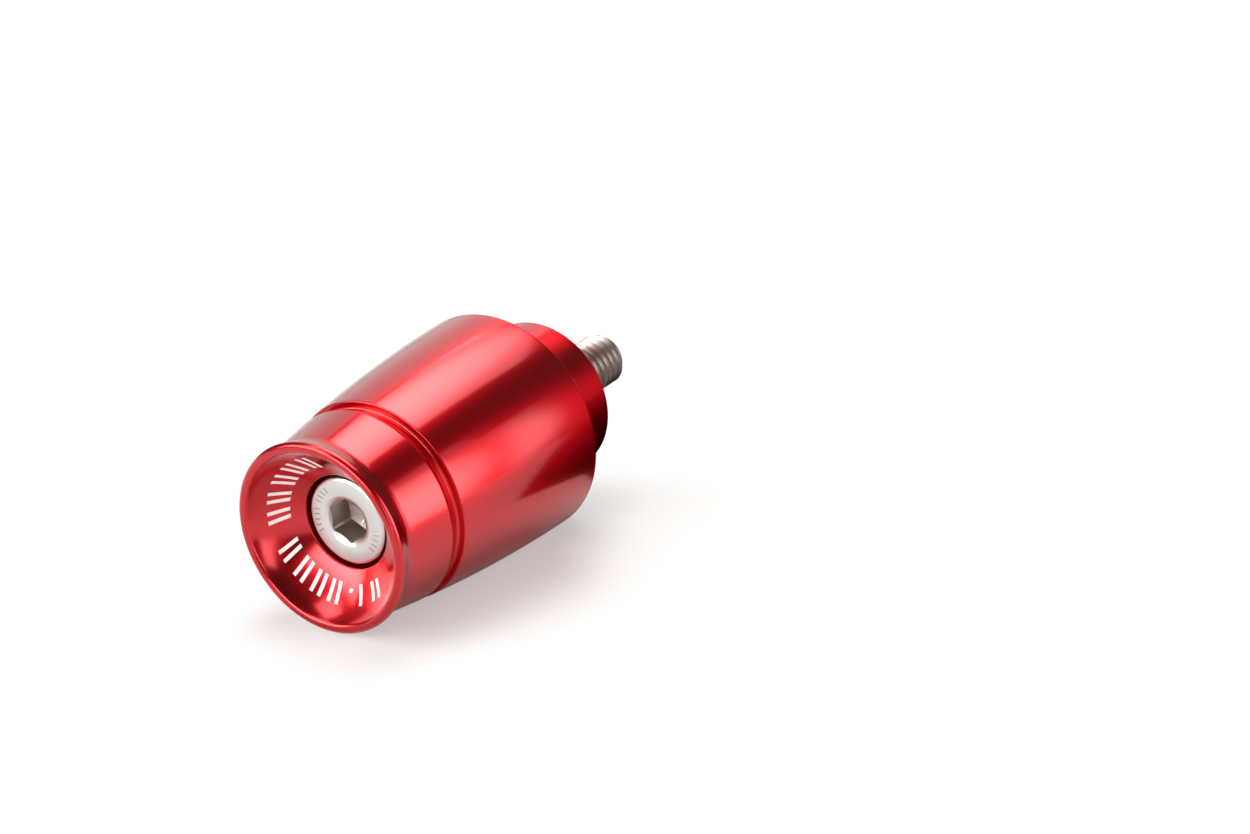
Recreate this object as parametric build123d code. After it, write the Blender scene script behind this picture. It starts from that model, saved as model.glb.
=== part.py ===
from build123d import *
from math import asin, atan2, cos, degrees, hypot, radians, sin, sqrt, tan
import os

# A bar end weight: one turned aluminium body, held to the end of a handlebar by a cap screw through its
# middle. The axis of both is X. The spigot's end face, which seats on the bar, is the plane x = 0, the screw
# points along +X into the bar, and the dished outer end faces -X. Millimetres.

# Spigot, the plain stub behind the barrel
spigot_radius = 11.7
spigot_length = 10.9
spigot_end_break = 0.2

# Barrel, slightly crowned and widest towards its rear edge
barrel_length = 29.0
barrel_swell = 1.97
barrel_crown_radius = 246.0
barrel_crown_bands = 3
barrel_front_break = 0.25
barrel_rear_break = 0.15

# Groove between the barrel and the front sleeve
groove_width = 2.45
groove_depth = 0.9
groove_bevel_run = 1.25
groove_root_bevel = 0.4
barrel_step = 0.33

# Front sleeve, a shallow cone that flares out into a rolled lip
sleeve_length = 10.35
sleeve_taper = 1.07
sleeve_edge_break = 0.12
neck_radius = 13.73
flare_round = 4.5
lip_overhang = 0.62
lip_round = 0.8
lip_inner_lean = 36.0
flare_bands = 2
lip_bands = 3

# Dish in the front, hollow like a bowl, down to the mouth of the counterbore
dish_depth = 6.25
dish_hollow_radius = 24.0
dish_bands = 3

# Cap screw, of the metric size 8
screw_radius = 4.0
screw_length = 55.0
screw_tip_chamfer = 0.7
head_radius = 6.5
head_height = 8.0
head_edge_chamfer = 0.33
socket_across_flats = 6.0
socket_depth = 4.3
socket_mouth_radius = 3.85
socket_mouth_lean = 30.0
socket_drill_lean = 31.0
socket_corner_turn = 24.0

# Fits between the screw and the body
head_clearance = 0.6
shank_clearance = 0.5
bore_end_chamfer = 0.4
head_recess = 0.15

# Stations along the axis
barrel_rear_x = -spigot_length
barrel_front_x = barrel_rear_x - barrel_length
sleeve_rear_x = barrel_front_x - groove_width
lip_x = sleeve_rear_x - sleeve_length
dish_floor_x = lip_x - lip_round + dish_depth
head_top_x = dish_floor_x + head_recess
seat_x = head_top_x + head_height
screw_tip_x = seat_x + screw_length

# Radii that follow from the neck, and from the screw
lip_centre_radius = neck_radius + lip_overhang - lip_round
sleeve_rear_radius = neck_radius + sleeve_taper
groove_floor_radius = sleeve_rear_radius - groove_depth
barrel_front_radius = sleeve_rear_radius + barrel_step
barrel_rear_radius = barrel_front_radius + barrel_swell
counterbore_radius = head_radius + head_clearance
bore_radius = screw_radius + shank_clearance


def nearest_corner(section, x, radius):
    return section.vertices().sort_by_distance((x, radius, 0))[0]


def in_bands(arc, count):
    """The arc as that many equal arcs, end to end."""
    return [arc.trim(band / count, (band + 1) / count) for band in range(count)]


def flared_front():
    """The sleeve's cone, the hollow behind the lip and the lip's roll, each smooth into the next."""
    flare_centre_radius = neck_radius + flare_round
    centres_apart = lip_round + flare_round
    rise = flare_centre_radius - lip_centre_radius
    run = sqrt(centres_apart**2 - rise**2)
    flare_x = lip_x + run
    lip_lean = degrees(asin(run / centres_apart))
    back = sleeve_rear_x - flare_x
    drop = flare_centre_radius - sleeve_rear_radius
    cone_slope = degrees(asin(flare_round / hypot(back, drop)) - atan2(drop, back))
    cone_start = (
        flare_x + flare_round * sin(radians(cone_slope)),
        flare_centre_radius - flare_round * cos(radians(cone_slope)),
    )
    cone = Line((sleeve_rear_x, sleeve_rear_radius), cone_start)
    flare = CenterArc((flare_x, flare_centre_radius), flare_round, cone_slope - 90, -(cone_slope + lip_lean))
    roll = CenterArc((lip_x, lip_centre_radius), lip_round, 90 - lip_lean, 90 + lip_lean + lip_inner_lean)
    return [cone, *in_bands(flare, flare_bands), *in_bands(roll, lip_bands)]


def weight_section():
    """Half of the body cut along its axis, as the lathe leaves it."""
    rear = Polyline(
        (0, bore_radius),
        (0, spigot_radius),
        (barrel_rear_x, spigot_radius),
        (barrel_rear_x, barrel_rear_radius),
    )
    crown = RadiusArc(
        (barrel_rear_x, barrel_rear_radius), (barrel_front_x, barrel_front_radius), -barrel_crown_radius
    )
    groove = Polyline(
        (barrel_front_x, barrel_front_radius),
        (barrel_front_x, groove_floor_radius),
        (sleeve_rear_x + groove_bevel_run, groove_floor_radius),
        (sleeve_rear_x, sleeve_rear_radius),
    )
    front = flared_front()
    lip_inner = Line(front[-1] @ 1, (lip_x, lip_centre_radius - lip_round))
    dish_wall = RadiusArc(lip_inner @ 1, (dish_floor_x, counterbore_radius), dish_hollow_radius)
    inside = Polyline(
        (dish_floor_x, counterbore_radius),
        (seat_x, counterbore_radius),
        (seat_x, bore_radius),
        (0, bore_radius),
    )
    outline = [
        *rear.edges(),
        *in_bands(crown, barrel_crown_bands),
        *groove.edges(),
        *front,
        lip_inner,
        *in_bands(dish_wall, dish_bands),
        *inside.edges(),
    ]
    section = make_face(Wire(outline))
    breaks = [
        (0, bore_radius, bore_end_chamfer),
        (0, spigot_radius, spigot_end_break),
        (barrel_rear_x, barrel_rear_radius, barrel_rear_break),
        (barrel_front_x, barrel_front_radius, barrel_front_break),
        (barrel_front_x, groove_floor_radius, groove_root_bevel),
        (sleeve_rear_x, sleeve_rear_radius, sleeve_edge_break),
    ]
    for x, radius, size in breaks:
        section = chamfer(nearest_corner(section, x, radius), size)
    return section


def make_weight_body():
    return revolve(weight_section(), Axis.X, clean=False)


def socket_cut():
    """The hexagon socket with its countersunk mouth and the cone that the drill leaves below it."""
    flat_radius = socket_across_flats / 2
    mouth_plane = Plane(origin=(head_top_x, 0, 0), x_dir=(0, 1, 0), z_dir=(1, 0, 0))
    outline = RegularPolygon(flat_radius, 6, major_radius=False, rotation=socket_corner_turn)
    hexagon = extrude(mouth_plane * outline, socket_depth)
    floor_x = head_top_x + socket_depth
    drill_tip_x = floor_x + flat_radius * tan(radians(socket_drill_lean))
    drilled = make_face(Polyline((floor_x, 0), (floor_x, flat_radius), (drill_tip_x, 0), close=True))
    mouth_end_x = head_top_x + (socket_mouth_radius - flat_radius) * tan(radians(socket_mouth_lean))
    countersink = make_face(Polyline(
        (head_top_x, 0),
        (head_top_x, socket_mouth_radius),
        (mouth_end_x, flat_radius),
        (mouth_end_x, 0),
        close=True,
    ))
    return hexagon + revolve(drilled, Axis.X) + revolve(countersink, Axis.X)


def make_socket_screw():
    """A cap screw with its head face down on the floor of the counterbore."""
    section = make_face(Polyline(
        (head_top_x, 0),
        (head_top_x, head_radius),
        (seat_x, head_radius),
        (seat_x, screw_radius),
        (screw_tip_x, screw_radius),
        (screw_tip_x, 0),
        close=True,
    ))
    section = chamfer(nearest_corner(section, head_top_x, head_radius), head_edge_chamfer)
    section = chamfer(nearest_corner(section, screw_tip_x, screw_radius), screw_tip_chamfer)
    return revolve(section, Axis.X) - socket_cut()


os.makedirs("parts", exist_ok=True)
export_step(make_weight_body(), "parts/weight_body.step")
export_step(make_socket_screw(), "parts/socket_screw.step")
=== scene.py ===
import bmesh
import bpy
from math import acos, asin, atan2, ceil, cos, degrees, hypot, pi, radians, sin, sqrt, tan
from mathutils import Euler, Matrix, Vector


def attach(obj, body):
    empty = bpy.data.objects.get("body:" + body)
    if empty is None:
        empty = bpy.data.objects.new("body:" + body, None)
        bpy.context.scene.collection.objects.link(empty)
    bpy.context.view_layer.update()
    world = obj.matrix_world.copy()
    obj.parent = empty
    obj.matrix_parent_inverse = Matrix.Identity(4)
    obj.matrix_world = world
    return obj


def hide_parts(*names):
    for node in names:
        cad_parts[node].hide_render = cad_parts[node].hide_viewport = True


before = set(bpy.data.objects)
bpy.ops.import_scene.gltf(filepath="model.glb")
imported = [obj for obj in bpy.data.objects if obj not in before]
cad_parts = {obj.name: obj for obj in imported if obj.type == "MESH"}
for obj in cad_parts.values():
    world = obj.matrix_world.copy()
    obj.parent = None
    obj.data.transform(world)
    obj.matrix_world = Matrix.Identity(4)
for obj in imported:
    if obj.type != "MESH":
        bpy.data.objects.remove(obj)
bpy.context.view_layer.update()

# The camera stands in front of the dished end, a little above it and half a metre away, and looks down
# at the part with a long lens.
camera = bpy.data.objects.new("camera", bpy.data.cameras.new("camera"))
bpy.context.scene.collection.objects.link(camera)
camera.location = (-0.37913, -0.28196, 0.22455)
camera.rotation_euler = Euler([radians(turn) for turn in (64.1618, 1.8545, -55.7098)])
camera.data.sensor_width = 36
camera.data.lens = 101.43
camera.data.clip_start, camera.data.clip_end = 0.01, 20
bpy.context.scene.camera = camera
bpy.context.scene.view_settings.view_transform = "Standard"


# The body is one turning of aluminium: a stub spigot, a barrel with a slight crown, a groove, and a sleeve
# that flares into a rolled lip round the dish. It is turned from bar, bored and counterbored, and every edge
# is broken. Its sizes are in millimetres, along X from the spigot's end face.
MM = 0.001
spigot_radius, spigot_length = 11.7, 10.9
barrel_length, barrel_swell, barrel_crown_radius = 29.0, 1.97, 246.0
groove_width, groove_depth, groove_bevel_run, barrel_step = 2.45, 0.9, 1.25, 0.33
sleeve_length, sleeve_taper = 10.35, 1.07
neck_radius, flare_round = 13.73, 4.5
lip_overhang, lip_round, lip_root_round = 0.62, 0.8, 8.0
dish_depth, dish_hollow_radius = 6.25, 24.0
counterbore_radius, bore_radius = 7.1, 4.5
head_height, head_recess = 8.0, 0.15

bore_end_round, spigot_end_round, spigot_root_round = 0.3, 0.2, 0.3
barrel_rear_round, barrel_front_round = 0.15, 0.22
groove_root_round, groove_bevel_round, sleeve_rear_round = 0.45, 0.3, 0.18
counterbore_mouth_round, seat_root_round, seat_bore_round = 0.3, 0.1, 0.2

barrel_rear_x = -spigot_length
barrel_front_x = barrel_rear_x - barrel_length
sleeve_rear_x = barrel_front_x - groove_width
lip_x = sleeve_rear_x - sleeve_length
dish_floor_x = lip_x - lip_round + dish_depth
head_top_x = dish_floor_x + head_recess
seat_x = head_top_x + head_height
lip_centre_radius = neck_radius + lip_overhang - lip_round
sleeve_rear_radius = neck_radius + sleeve_taper
groove_floor_radius = sleeve_rear_radius - groove_depth
barrel_front_radius = sleeve_rear_radius + barrel_step
barrel_rear_radius = barrel_front_radius + barrel_swell
lip_centre = (lip_x, lip_centre_radius)
dish_mouth = (dish_floor_x, counterbore_radius)


def arc(centre, radius, start, turn, steps):
    """Points along an arc in the plane of x and radius, from the start angle on, in degrees."""
    angles = [radians(start + turn * step / steps) for step in range(steps + 1)]
    return [(centre[0] + radius * cos(angle), centre[1] + radius * sin(angle), 0.0) for angle in angles]


def heading(way):
    """The angle of a way in the plane of x and radius, in degrees."""
    return degrees(atan2(way.y, way.x))


def crown(steps):
    """The barrel's long, slight arc from its rear edge to its front edge."""
    rear = Vector((barrel_rear_x, barrel_rear_radius))
    front = Vector((barrel_front_x, barrel_front_radius))
    chord = front - rear
    inward = Vector((-chord.y, chord.x)).normalized()
    centre = (rear + front) / 2 + inward * sqrt(barrel_crown_radius**2 - chord.length**2 / 4)
    start, end = heading(rear - centre), heading(front - centre)
    points = arc(centre, barrel_crown_radius, start, end - start, steps)
    return [(*points[0][:2], barrel_rear_round), *points[1:-1], (*points[-1][:2], barrel_front_round)]


def dish_centre():
    """The centre of the arc that hollows the dish from the lip down to the counterbore."""
    lip, mouth = Vector((lip_x, lip_centre_radius - lip_round)), Vector(dish_mouth)
    chord = mouth - lip
    outward = Vector((chord.y, -chord.x)).normalized()
    return (lip + mouth) / 2 + outward * sqrt(dish_hollow_radius**2 - chord.length**2 / 4)


def root_centre():
    """The centre of the arc that joins the dish's wall to the lip's roll and touches both."""
    centre = dish_centre()
    to_lip = Vector(lip_centre) - centre
    reach, gap = dish_hollow_radius - lip_root_round, lip_round + lip_root_round
    turn = acos((reach**2 + to_lip.length**2 - gap**2) / (2 * reach * to_lip.length))
    return centre + Matrix.Rotation(-turn, 2) @ to_lip.normalized() * reach


def flared_front():
    """The hollow behind the lip and the lip's roll, each running smoothly into the next."""
    flare_radius = neck_radius + flare_round
    centres_apart = lip_round + flare_round
    run = sqrt(centres_apart**2 - (flare_radius - lip_centre_radius) ** 2)
    flare_x = lip_x + run
    lean = degrees(asin(run / centres_apart))
    back, drop = sleeve_rear_x - flare_x, flare_radius - sleeve_rear_radius
    slope = degrees(asin(flare_round / hypot(back, drop)) - atan2(drop, back))
    hollow = arc((flare_x, flare_radius), flare_round, slope - 90, -(slope + lean), 14)
    roll_end = heading(root_centre() - Vector(lip_centre)) + 360
    roll = arc(lip_centre, lip_round, 90 - lean, roll_end - 90 + lean, 26)
    return hollow + roll[1:]


def dish_wall():
    """The arc under the lip and the dish's hollow wall, down to just before the counterbore."""
    centre, root = dish_centre(), root_centre()
    lip_way, wall_way = heading(Vector(lip_centre) - root), heading(root - centre)
    mouth_way = heading(Vector(dish_mouth) - centre)
    under_lip = arc(root, lip_root_round, lip_way, wall_way - lip_way, 5)
    wall = arc(centre, dish_hollow_radius, wall_way, mouth_way - wall_way, 16)
    return under_lip[1:] + wall[1:-1]


def rounded(corners, steps=5):
    """A closed outline with each corner (x, radius, round) worked to its own small round."""
    points = []
    for index, (x, radius, edge) in enumerate(corners):
        corner = Vector((x, radius))
        if not edge:
            points.append(corner)
            continue
        before = (Vector(corners[index - 1][:2]) - corner).normalized()
        after = (Vector(corners[(index + 1) % len(corners)][:2]) - corner).normalized()
        half = before.angle(after) / 2
        centre = corner + (before + after).normalized() * edge / sin(half)
        first = corner + before * edge / tan(half) - centre
        last = corner + after * edge / tan(half) - centre
        turn = first.angle_signed(last)
        for step in range(steps + 1):
            points.append(centre + Matrix.Rotation(-turn * step / steps, 2) @ first)
    return points


def new_piece(name, vertices, faces):
    """An object in the scene with a mesh of those vertices and faces."""
    mesh = bpy.data.meshes.new(name)
    mesh.from_pydata(vertices, [], faces)
    piece = bpy.data.objects.new(name, mesh)
    bpy.context.scene.collection.objects.link(piece)
    return piece


def turned(name, outline, around=256):
    """A closed outline of (x, radius), turned about the X axis, with the smooth normals of a lathe."""
    count = len(outline)
    sides = [outline[(index + 1) % count] - outline[index] for index in range(count)]
    vertices, faces, normals = [], [], []
    for index, point in enumerate(outline):
        lean = sides[index - 1] + sides[index]  # each side counts by its length
        lean = Vector((lean.y, -lean.x)).normalized()
        this_ring, next_ring = index * around, (index + 1) % count * around
        for step in range(around):
            angle = 2 * pi * step / around
            vertices.append((point.x * MM, point.y * MM * sin(angle), point.y * MM * cos(angle)))
            normals.append((lean.x, lean.y * sin(angle), lean.y * cos(angle)))
            after = (step + 1) % around
            faces.append((this_ring + step, this_ring + after, next_ring + after, next_ring + step))
    piece = new_piece(name, vertices, faces)
    piece.data.shade_smooth()
    piece.data.normals_split_custom_set_from_vertices(normals)
    return piece


body = turned("turned_body", rounded([
    (0, bore_radius, bore_end_round),
    (0, spigot_radius, spigot_end_round),
    (barrel_rear_x, spigot_radius, spigot_root_round),
    *crown(40),
    (barrel_front_x, groove_floor_radius, groove_root_round),
    (sleeve_rear_x + groove_bevel_run, groove_floor_radius, groove_bevel_round),
    (sleeve_rear_x, sleeve_rear_radius, sleeve_rear_round),
    *flared_front(),
    *dish_wall(),
    (*dish_mouth, counterbore_mouth_round),
    (seat_x, counterbore_radius, seat_root_round),
    (seat_x, bore_radius, seat_bore_round),
]))


def linear(colour):
    """An sRGB hex colour as the linear values that a shader takes."""
    parts = [int(colour[place:place + 2], 16) / 255 for place in (0, 2, 4)]
    return (*(part / 12.92 if part < 0.04045 else ((part + 0.055) / 1.055) ** 2.4 for part in parts), 1)


def add(tree, kind, settings=None, **links):
    """Adds a node, sets its properties and sockets, and links sockets of other nodes to it."""
    node = tree.nodes.new(kind)
    for name, value in (settings or {}).items():
        if isinstance(name, int) or name in node.inputs:
            node.inputs[name].default_value = value
        else:
            setattr(node, name, value)
    for name, socket in links.items():
        tree.links.new(socket, node.inputs[name.replace("_", " ")])
    return node


def new_material(name):
    """A material whose tree holds only its output, the tree and that output."""
    material = bpy.data.materials.new(name)
    material.use_nodes = True
    material.node_tree.nodes.clear()
    return material, material.node_tree, material.node_tree.nodes.new("ShaderNodeOutputMaterial")


# Fine-turned aluminium, anodised red. The tool leaves about nine marks to the millimetre, which run round the
# axis, so a lamp shows as a streak along the part with crisp sides. The dyed oxide film over the metal adds a
# clear, white gleam at glancing angles. The dish is cut with a finer tool and mirrors more crisply.
def anodised_red(name, roughness, film_roughness):
    """Turned aluminium of that roughness under a red oxide film."""
    material, tree, out = new_material(name)
    place = add(tree, "ShaderNodeTexCoord")
    tool_path = add(tree, "ShaderNodeMapping", {"Scale": (9 / MM, 0.06 / MM, 0.06 / MM)},
                    Vector=place.outputs["Object"])
    marks = add(tree, "ShaderNodeTexNoise", {"Scale": 1.0, "Detail": 2.0}, Vector=tool_path.outputs["Vector"])
    relief = add(tree, "ShaderNodeBump", {"Strength": 0.05, "Distance": 0.02 * MM},
                 Height=marks.outputs["Fac"])
    round_axis = add(tree, "ShaderNodeTangent", {"direction_type": "RADIAL", "axis": "X"})
    dyed = add(tree, "ShaderNodeBsdfPrincipled", {
        "Base Color": linear("DC0419"), "Metallic": 1.0, "Roughness": roughness, "Anisotropic": 0.3,
        "Anisotropic Rotation": 0.25, "Coat Weight": 1.0, "Coat Roughness": film_roughness, "Coat IOR": 1.6,
    }, Tangent=round_axis.outputs["Tangent"], Normal=relief.outputs["Normal"])
    tree.links.new(dyed.outputs["BSDF"], out.inputs["Surface"])
    return material


body.data.materials.append(anodised_red("anodised_aluminium_red", 0.335, 0.1))
body.data.materials.append(anodised_red("anodised_aluminium_red_dish", 0.26, 0.16))

# The finer finish takes in the dish, from inside the lip to just past the counterbore's mouth
fine_end_x, fine_edge_radius = dish_floor_x + 0.5, lip_centre_radius - 0.4
for face in body.data.polygons:
    corners = [body.data.vertices[corner].co / MM for corner in face.vertices]
    if all(corner.x < fine_end_x and corner.yz.length < fine_edge_radius for corner in corners):
        face.material_index = 1
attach(body, "root")
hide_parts("weight_body")


# The dish carries a band of index marks, burnt through the dye by a laser, so that the pale metal shows. They
# are plain slanted strokes in pairs, with one small dot, halfway between the screw and the lip. Each place is
# its turn in degrees from the top and its number of strokes, and the dot's is none.
mark_places = [(22, 2), (40, 2), (57, 2), (76, 2), (93, 2), (123, 2), (142, 2), (159, 2), (175, 2), (190, 0),
               (202, 1), (220, 2)]
mark_inner, mark_outer = 8.85, 11.2
stroke_width, stroke_gap, stroke_lean, stroke_foot = 0.56, 1.25, 0.7, 0.06
dot_inner, dot_length = 9.35, 0.45


def on_dish(turn, radius, height):
    """A point in metres at that turn from the top and that radius, and that height above the dish."""
    centre = dish_centre()
    lean = asin((radius - centre.y) / dish_hollow_radius)
    x = centre.x + (dish_hollow_radius - height) * cos(lean)
    radius = centre.y + (dish_hollow_radius - height) * sin(lean)
    return (x * MM, radius * MM * sin(radians(turn)), radius * MM * cos(radians(turn)))


def stroke(vertices, faces, on_face, turn, inner, outer, width, lean, proud=0.012, across=3, along=6):
    """A thin slab on a face from the inner to the outer radius, shifted sideways by lean on its way, which
    stands proud of the face and has its foot just under it."""
    first = len(vertices)
    for height in (proud, -stroke_foot):
        for row in range(along + 1):
            radius = inner + (outer - inner) * row / along
            for column in range(across + 1):
                shift = lean * (row / along - 0.5) + width * (column / across - 0.5)
                vertices.append(on_face(turn + degrees(shift / radius), radius, height))
    size, columns = (along + 1) * (across + 1), across + 1
    for row in range(along):
        for column in range(across):
            a = first + row * columns + column
            faces.append((a, a + columns, a + 1 + columns, a + 1))
            faces.append((a + size, a + size + 1, a + size + 1 + columns, a + size + columns))
    edge = list(range(columns))
    edge += [row * columns + across for row in range(1, along + 1)]
    edge += [along * columns + column for column in range(across - 1, -1, -1)]
    edge += [row * columns for row in range(along - 1, 0, -1)]
    for here, there in zip(edge, edge[1:] + edge[:1]):
        faces.append((first + here, first + there, first + there + size, first + here + size))


vertices, faces = [], []
for turn, strokes in mark_places:
    if not strokes:
        stroke(vertices, faces, on_dish, turn, dot_inner, dot_inner + dot_length, stroke_width, 0)
    for number in range(strokes):
        side = degrees((number - (strokes - 1) / 2) * stroke_gap / ((mark_inner + mark_outer) / 2))
        stroke(vertices, faces, on_dish, turn + side, mark_inner, mark_outer, stroke_width, stroke_lean)
marks_piece = new_piece("index_marks", vertices, faces)

# Laser-bared aluminium: the burnt surface is satin and nearly white, with a breath of the red left in it. Its
# speckle is a sixth of a millimetre across.
bared, tree, out = new_material("laser_bared_aluminium")
place = add(tree, "ShaderNodeTexCoord")
speckle = add(tree, "ShaderNodeTexNoise", {"Scale": 6 / MM, "Detail": 1.0}, Vector=place.outputs["Object"])
tint = add(tree, "ShaderNodeMix", {"data_type": "RGBA", 6: linear("FFF4F4"), 7: linear("FFE6E8")},
           Factor=speckle.outputs["Fac"])
matt = add(tree, "ShaderNodeBsdfPrincipled", {"Roughness": 0.6}, Base_Color=tint.outputs[2])
tree.links.new(matt.outputs["BSDF"], out.inputs["Surface"])
marks_piece.data.materials.append(bared)
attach(marks_piece, "root")


# The cap screw, of the metric size 8, cold-headed from stainless steel with a rolled thread. Its head stands
# in the counterbore, its hexagon socket has a countersunk mouth, and its free end carries the thread.
head_radius, head_chamfer = 6.5, 0.33
shank_radius, screw_length, tip_chamfer = 4.0, 55.0, 0.7
socket_flat_radius, socket_depth, socket_mouth_radius = 3.0, 4.3, 3.85
socket_mouth_lean, socket_drill_lean, socket_corner_turn = 30, 31, 24
thread_pitch, thread_depth, thread_length, runout_turns = 1.25, 0.7, 28.0, 1.5
seat_edge_break, shank_root_break = 0.1, 0.3
around, rows_per_turn = 96, 10
socket_floor_x = head_top_x + socket_depth
drill_drop = socket_flat_radius * tan(radians(socket_drill_lean))
screw_tip_x = seat_x + screw_length
thread_start = screw_tip_x - thread_length


def hexagon(angle):
    """The hexagon socket's radius at that angle, which is measured from +Y towards +Z, in degrees."""
    return socket_flat_radius / cos(radians((angle - socket_corner_turn) % 60 - 30))


def head_outline(angle):
    """The screw's outline at that angle, from the foot of its socket over the head to the shank. Each edge is
    split in two, a few hundredths of a millimetre apart, so that it catches the light."""
    wall = hexagon(angle)
    face_radius = head_radius - head_chamfer
    return [
        (socket_floor_x + drill_drop * 0.9, socket_flat_radius * 0.1),
        (socket_floor_x, socket_flat_radius),
        (socket_floor_x, wall),
        (head_top_x + (socket_mouth_radius - wall) * tan(radians(socket_mouth_lean)), wall),
        (head_top_x + 0.03, socket_mouth_radius - 0.04),
        (head_top_x, socket_mouth_radius + 0.05),
        (head_top_x, face_radius - 0.08),
        (head_top_x + 0.03, face_radius + 0.02),
        (head_top_x + head_chamfer - 0.05, head_radius - 0.03),
        (head_top_x + head_chamfer + 0.1, head_radius),
        (seat_x - seat_edge_break, head_radius),
        (seat_x, head_radius - seat_edge_break),
        (seat_x, shank_radius + shank_root_break),
        (seat_x + shank_root_break, shank_radius),
    ]


def thread_cut(turns):
    """How deep the thread is cut after that many turns: a narrow crest, a flank, a root and a flank."""
    share = turns % 1
    steps = [(0, 0), (0.125, 0), (0.45, 1), (0.675, 1), (1, 0)]
    for (start, low), (end, high) in zip(steps, steps[1:]):
        if share <= end:
            return thread_depth * (low + (high - low) * (share - start) / (end - start))


def on_screw(x, radius, angle):
    """A point in metres at that x, radius and angle."""
    return (x * MM, radius * MM * cos(radians(angle)), radius * MM * sin(radians(angle)))


def join_rings(faces, ring, next_ring):
    """Faces between two rings of the screw, given by their first vertices."""
    for step in range(around):
        after = (step + 1) % around
        faces.append((ring + step, ring + after, next_ring + after, next_ring + step))


angles = [360 * step / around for step in range(around)]
head_rings = list(zip(*(head_outline(angle) for angle in angles)))
vertices = [on_screw(*point, angle) for ring in head_rings for point, angle in zip(ring, angles)]
faces = []
for ring in range(len(head_rings) - 1):
    join_rings(faces, ring * around, (ring + 1) * around)
vertices.append(on_screw(socket_floor_x + drill_drop, 0, 0))
for step in range(around):
    faces.append((len(vertices) - 1, (step + 1) % around, step))

# The thread is one long strip, wound so that each turn meets the next
first = len(vertices)
rows = ceil((thread_length / thread_pitch + 1) * rows_per_turn) + 1
for row in range(rows):
    turns = row / rows_per_turn - 1
    for step, angle in enumerate(angles):
        x = thread_start + (turns + step / around) * thread_pitch
        x = min(max(x, thread_start), screw_tip_x)
        runout = min(max((x - thread_start) / (runout_turns * thread_pitch), 0), 1)
        radius = shank_radius - thread_cut(turns) * runout
        radius = min(radius, shank_radius - tip_chamfer + (screw_tip_x - x))
        vertices.append(on_screw(x, radius, angle))
for row in range(rows - 1):
    for step in range(around):
        a = first + row * around + step
        b = a + 1
        if step == around - 1:
            b = first + (row + rows_per_turn) * around
            if row + rows_per_turn + 1 >= rows:
                continue
        faces.append((a, b, b + around, a + around))
join_rings(faces, (len(head_rings) - 1) * around, first)
tip_ring = first + (rows - 1) * around
vertices.append(on_screw(screw_tip_x, 0, 0))
for step in range(around):
    faces.append((tip_ring + step, tip_ring + (step + 1) % around, len(vertices) - 1))
screw = new_piece("cap_screw", vertices, faces)

# Both ends of the strip lie flat against the shank and the tip, where its doubled vertices are welded
shape = bmesh.new()
shape.from_mesh(screw.data)
bmesh.ops.remove_doubles(shape, verts=shape.verts, dist=0.002 * MM)
bmesh.ops.dissolve_degenerate(shape, edges=shape.edges, dist=0.001 * MM)
bmesh.ops.holes_fill(shape, edges=shape.edges, sides=4)
bmesh.ops.recalc_face_normals(shape, faces=shape.faces)
shape.to_mesh(screw.data)
shape.free()
screw.data.shade_smooth()
screw.data.set_sharp_from_angle(angle=radians(32))

# The head carries two groups of plain raised strokes, where such heads have the marks of their dies
stamp_turns = (40, 49, 58, 67, 82, 91, 100, 109, 118, 232, 242, 252, 262)
stamp_inner, stamp_outer, stamp_width, stamp_lean, stamp_height = 4.75, 5.7, 0.24, 0.2, 0.03


def on_head(turn, radius, height):
    """A point in metres at that turn from the top and that radius, and that height above the head."""
    return ((head_top_x - height) * MM, radius * MM * sin(radians(turn)), radius * MM * cos(radians(turn)))


vertices, faces = [], []
for turn in stamp_turns:
    stroke(vertices, faces, on_head, turn, stamp_inner, stamp_outer, stamp_width, stamp_lean,
           proud=stamp_height, across=1, along=2)
stamps = new_piece("head_stamps", vertices, faces)


# Stainless steel, cold-headed and tumbled: a satin grey-white with a faint mottle, 0.4 mm across. The shank
# and the thread keep the browner, duller skin of the forming, and the same darker colour is painted into the
# socket as shade. The marks of the dies are darker than the head.
socket_shade_edge, socket_shade_inside = 3.5, 3.3


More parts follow.
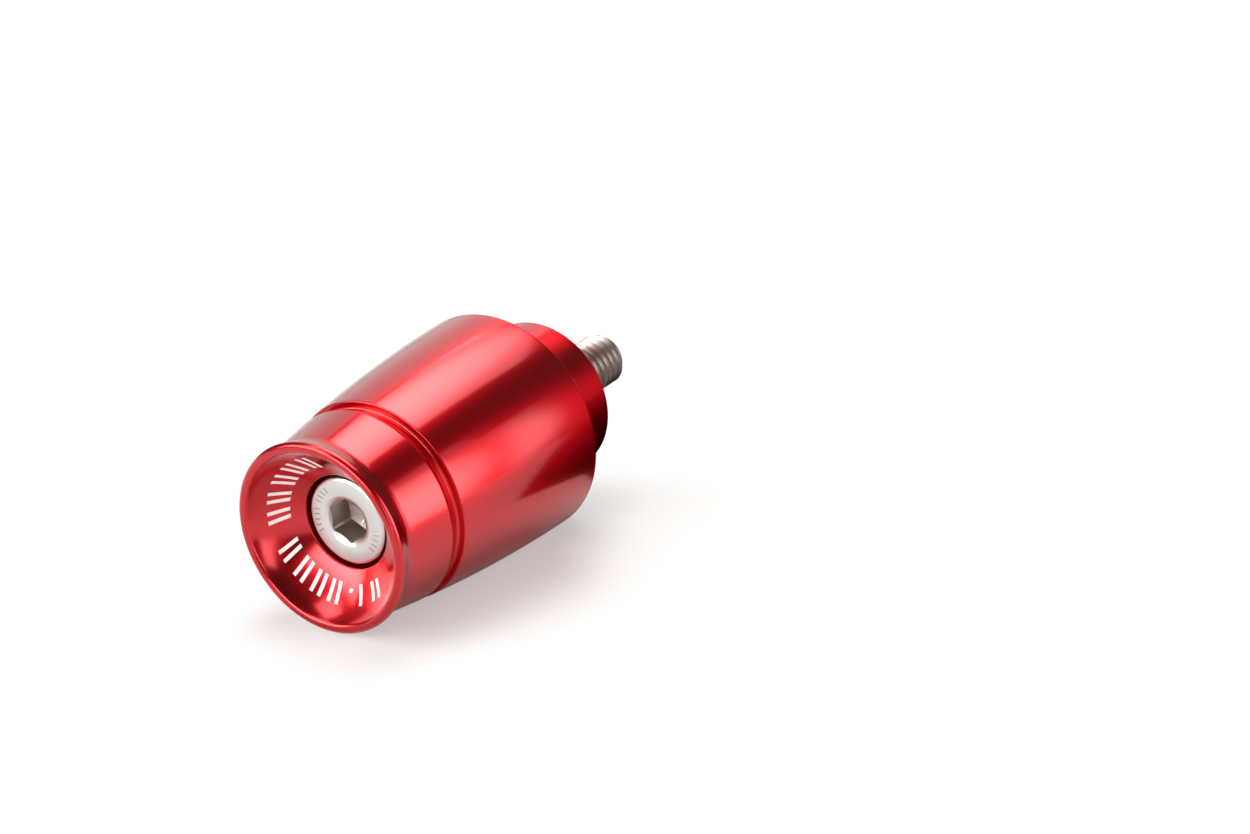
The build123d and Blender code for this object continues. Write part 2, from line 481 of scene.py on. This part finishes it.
def tumbled_steel(name, colour):
    """Satin stainless steel of that colour, with a duller one from the shank on, and the same painted as
    shade in the socket.
    """
    material, tree, out = new_material(name)
    place = add(tree, "ShaderNodeTexCoord")
    mottle = add(tree, "ShaderNodeTexNoise", {"Scale": 2.5 / MM, "Detail": 3.0},
                 Vector=place.outputs["Object"])
    dents = add(tree, "ShaderNodeBump", {"Strength": 0.12, "Distance": 0.05 * MM},
                Height=mottle.outputs["Fac"])
    from_axis = add(tree, "ShaderNodeVectorMath", {"operation": "MULTIPLY", 1: (0, 1, 1)})
    off_axis = add(tree, "ShaderNodeVectorMath", {"operation": "LENGTH"})
    tree.links.new(place.outputs["Object"], from_axis.inputs[0])
    tree.links.new(from_axis.outputs["Vector"], off_axis.inputs[0])
    # Painted shade: inside the socket the steel takes the darker, duller colour
    in_socket = add(tree, "ShaderNodeMapRange", {"From Min": socket_shade_edge * MM, "From Max": socket_shade_inside * MM},
                    Value=off_axis.outputs["Value"])
    along = add(tree, "ShaderNodeSeparateXYZ", Vector=place.outputs["Object"])
    past_head = add(tree, "ShaderNodeMapRange", {"From Min": seat_x * MM, "From Max": (seat_x + 1) * MM},
                    Value=along.outputs["X"])
    dull_skin_and_shade = add(tree, "ShaderNodeMath", {"operation": "MAXIMUM"})
    tree.links.new(in_socket.outputs["Result"], dull_skin_and_shade.inputs[0])
    tree.links.new(past_head.outputs["Result"], dull_skin_and_shade.inputs[1])
    tint = add(tree, "ShaderNodeMix", {"data_type": "RGBA", 6: linear(colour), 7: linear("BDB2AC")},
               Factor=dull_skin_and_shade.outputs["Value"])
    satin = add(tree, "ShaderNodeBsdfPrincipled", {"Metallic": 1.0, "Roughness": 0.34},
                Base_Color=tint.outputs[2], Normal=dents.outputs["Normal"])
    tree.links.new(satin.outputs["BSDF"], out.inputs["Surface"])
    return material


screw.data.materials.append(tumbled_steel("stainless_steel_tumbled", "F2F1F0"))
stamps.data.materials.append(tumbled_steel("stainless_steel_die_marks", "C4C0BC"))
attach(stamps, "root")
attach(screw, "root")
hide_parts("socket_screw")


# The studio: the part lies on white paper, on its lip and on the barrel's rear edge, in a dark room. The
# camera sees the paper lifted to white, and the part's shadow stays on it. Its sizes are in metres, from the
# point of the lip that touches the paper.
lip_foot = Vector((lip_x, 0, -(lip_centre_radius + lip_round))) * MM
rear_foot = Vector((barrel_rear_x, 0, -barrel_rear_radius)) * MM
along_floor = (rear_foot - lip_foot).normalized()
across_floor = Vector((0, 1, 0))
floor_up = along_floor.cross(across_floor)
floor_reach, paper_gap, shade_sheet_height = 4.0, 0.00002, 0.0001
wall_distance, wall_height, wall_start, wall_end = 1.2, 0.9, 15, 62


def over_floor(along, across, height):
    """The point that far from the lip's foot, along the part, across it and up from the paper."""
    return lip_foot + along_floor * along + across_floor * across + floor_up * height


def compass(turn, rise=0):
    """The direction at that turn from the part's rear towards +Y and that rise over the paper, in degrees."""
    level = along_floor * cos(radians(turn)) + across_floor * sin(radians(turn))
    return level * cos(radians(rise)) + floor_up * sin(radians(rise))


def paper(name, colour, to_camera, in_mirrors=0.0):
    """Matt paper that glows by the given amounts for the camera and for mirror images."""
    material, tree, out = new_material(name)
    matt = add(tree, "ShaderNodeBsdfDiffuse", {"Color": linear(colour)})
    path = add(tree, "ShaderNodeLightPath")
    seen = add(tree, "ShaderNodeMath", {"operation": "MULTIPLY_ADD", 1: to_camera, 2: 0.0})
    level = add(tree, "ShaderNodeMath", {"operation": "MULTIPLY_ADD", 1: in_mirrors})
    tree.links.new(path.outputs["Is Camera Ray"], seen.inputs[0])
    tree.links.new(path.outputs["Is Glossy Ray"], level.inputs[0])
    tree.links.new(seen.outputs["Value"], level.inputs[2])
    glow = add(tree, "ShaderNodeEmission", Strength=level.outputs["Value"])
    both = add(tree, "ShaderNodeAddShader")
    tree.links.new(matt.outputs["BSDF"], both.inputs[0])
    tree.links.new(glow.outputs["Emission"], both.inputs[1])
    tree.links.new(both.outputs["Shader"], out.inputs["Surface"])
    return material


def sheet(name, points, material):
    """A flat sheet through the points."""
    piece = new_piece(name, points, [tuple(range(len(points)))])
    piece.data.materials.append(material)
    return piece


# The floor is matt white paper. The backdrop past the part's rear is white to the camera and a little dimmer
# in mirror images, and dark to all else, so that it sheds no light on the paper.
sheet("floor", [
    over_floor(along * floor_reach, across * floor_reach, -paper_gap)
    for along, across in ((-1, -1), (1, -1), (1, 1), (-1, 1))
], paper("white_paper", "C0C0C0", 0.37))
sheet("backdrop", [
    lip_foot + compass(turn) * wall_distance + floor_up * height
    for turn, height in ((wall_start, 0), (wall_end, 0), (wall_end, wall_height), (wall_start, wall_height))
], paper("white_backdrop", "101010", 1.0, 0.8))

# A dark sheet lies on the paper behind the part, where only mirror images see it. It is painted shade: it
# stands in mirror images for the paper in shadow under and behind the part, and keeps the spigot, the thread
# and the barrel's lower rear dark. Its near edge runs just past the spigot's end.
shade_sheet = sheet("painted_shade_sheet", [over_floor(along, across, shade_sheet_height) for along, across in (
    (0.0449, -0.038), (0.0569, -0.027), (0.0539, -0.014), (0.0529, 0.022), (0.113, 0.022), (1.55, -0.1),
    (1.55, -1.6),
)], paper("painted_shade_sheet", "020202", 0.0))
shade_sheet.visible_camera = shade_sheet.visible_diffuse = shade_sheet.visible_shadow = False

# The lamps are flat softboxes with a fading cloth, as bright at any size. The two lamps of a pair stand 20 mm
# apart, because in one plane they would take each other's light.
watts_per_area, pair_gap = 4, 0.02
warm_white = (1, 0.99, 0.96)


def softbox(name, way, centre, along, size, fall=0.0, mirrored=0.0, lighting=0.0):
    """A rectangular softbox that faces back along the way to it: its centre, the way its long side runs, its
    size, how far it fades from the middle to the middle of a side, and the brightness of its two lamps, of
    which one shows in mirror images and the other lights matt things."""
    out = way.normalized()
    along = (along - out * along.dot(out)).normalized()
    for level, in_mirrors in ((mirrored, True), (lighting, False)):
        if not level:
            continue
        lamp = bpy.data.lights.new(name, "AREA")
        lamp.shape, lamp.size, lamp.size_y = "RECTANGLE", *size
        lamp.energy = level * size[0] * size[1] * watts_per_area
        lamp.color = warm_white
        lamp.use_nodes = True
        tree = lamp.node_tree
        tree.nodes.clear()
        place = add(tree, "ShaderNodeNewGeometry")
        middle = add(tree, "ShaderNodeVectorMath",
                     {"operation": "MULTIPLY_ADD", 1: (2, 2, 0), 2: (-1, -1, 0)})
        tree.links.new(place.outputs["Parametric"], middle.inputs[0])
        squared = add(tree, "ShaderNodeVectorMath", {"operation": "DOT_PRODUCT"})
        tree.links.new(middle.outputs["Vector"], squared.inputs[0])
        tree.links.new(middle.outputs["Vector"], squared.inputs[1])
        fading = add(tree, "ShaderNodeMapRange", {"To Min": 1.0, "To Max": 1 - fall},
                     Value=squared.outputs["Value"])
        glow = add(tree, "ShaderNodeEmission", Strength=fading.outputs["Result"])
        tree.links.new(glow.outputs["Emission"], add(tree, "ShaderNodeOutputLight").inputs["Surface"])
        piece = bpy.data.objects.new(name, lamp)
        bpy.context.scene.collection.objects.link(piece)
        piece.visible_glossy, piece.visible_diffuse = in_mirrors, not in_mirrors
        behind = out * (0.0 if in_mirrors else pair_gap)
        turn = Matrix((along, out.cross(along), out)).transposed().to_4x4()
        piece.matrix_world = Matrix.Translation(centre + behind) @ turn


def beside(turn, along, distance=0.6):
    """A point of the part's frame: its turn from +Z towards +Y, its place along the axis and its distance."""
    return Vector((along, distance * sin(radians(turn)), distance * cos(radians(turn))))


axis = Vector((1, 0, 0))
over, side = beside(14, 0, 1), beside(-75.5, 0, 1)
softbox("overhead_softbox", over, beside(14, 0.28), axis, (0.64, 0.6), 0.7, mirrored=3.9, lighting=5.8)
softbox("side_softbox", side, beside(-75.5, 0.18), axis, (0.42, 0.72), 0.9, mirrored=3.6, lighting=5.3)
softbox("side_softbox_end", side, beside(-75.5, 0.46), axis, (0.14, 0.5), 0.8, mirrored=1.7, lighting=2.4)
front, upper, right = compass(156, 23), compass(132, 47), compass(-127, 12)
softbox("front_softbox", front, front * 0.7, compass(246), (1.1, 0.28), 0.6, mirrored=5.4)
softbox("upper_front_softbox", upper, upper * 0.7, compass(222), (0.34, 0.26), 0.3, mirrored=2.3)
softbox("front_fill", front, front * 0.7, compass(246), (1.1, 0.5), lighting=4.5)
softbox("right_softbox", right, right * 0.7, compass(-37), (0.22, 0.4), 0.2, mirrored=1.7)

# The room is nearly dark, and only the camera sees it white
world = bpy.data.worlds.new("studio")
bpy.context.scene.world = world
world.use_nodes = True
tree = world.node_tree
path = add(tree, "ShaderNodeLightPath")
level = add(tree, "ShaderNodeMapRange", {"To Min": 0.06, "To Max": 1.0}, Value=path.outputs["Is Camera Ray"])
tree.links.new(level.outputs["Result"], tree.nodes["Background"].inputs["Strength"])
tree.nodes["Background"].inputs["Color"].default_value = (1, 1, 1, 1)
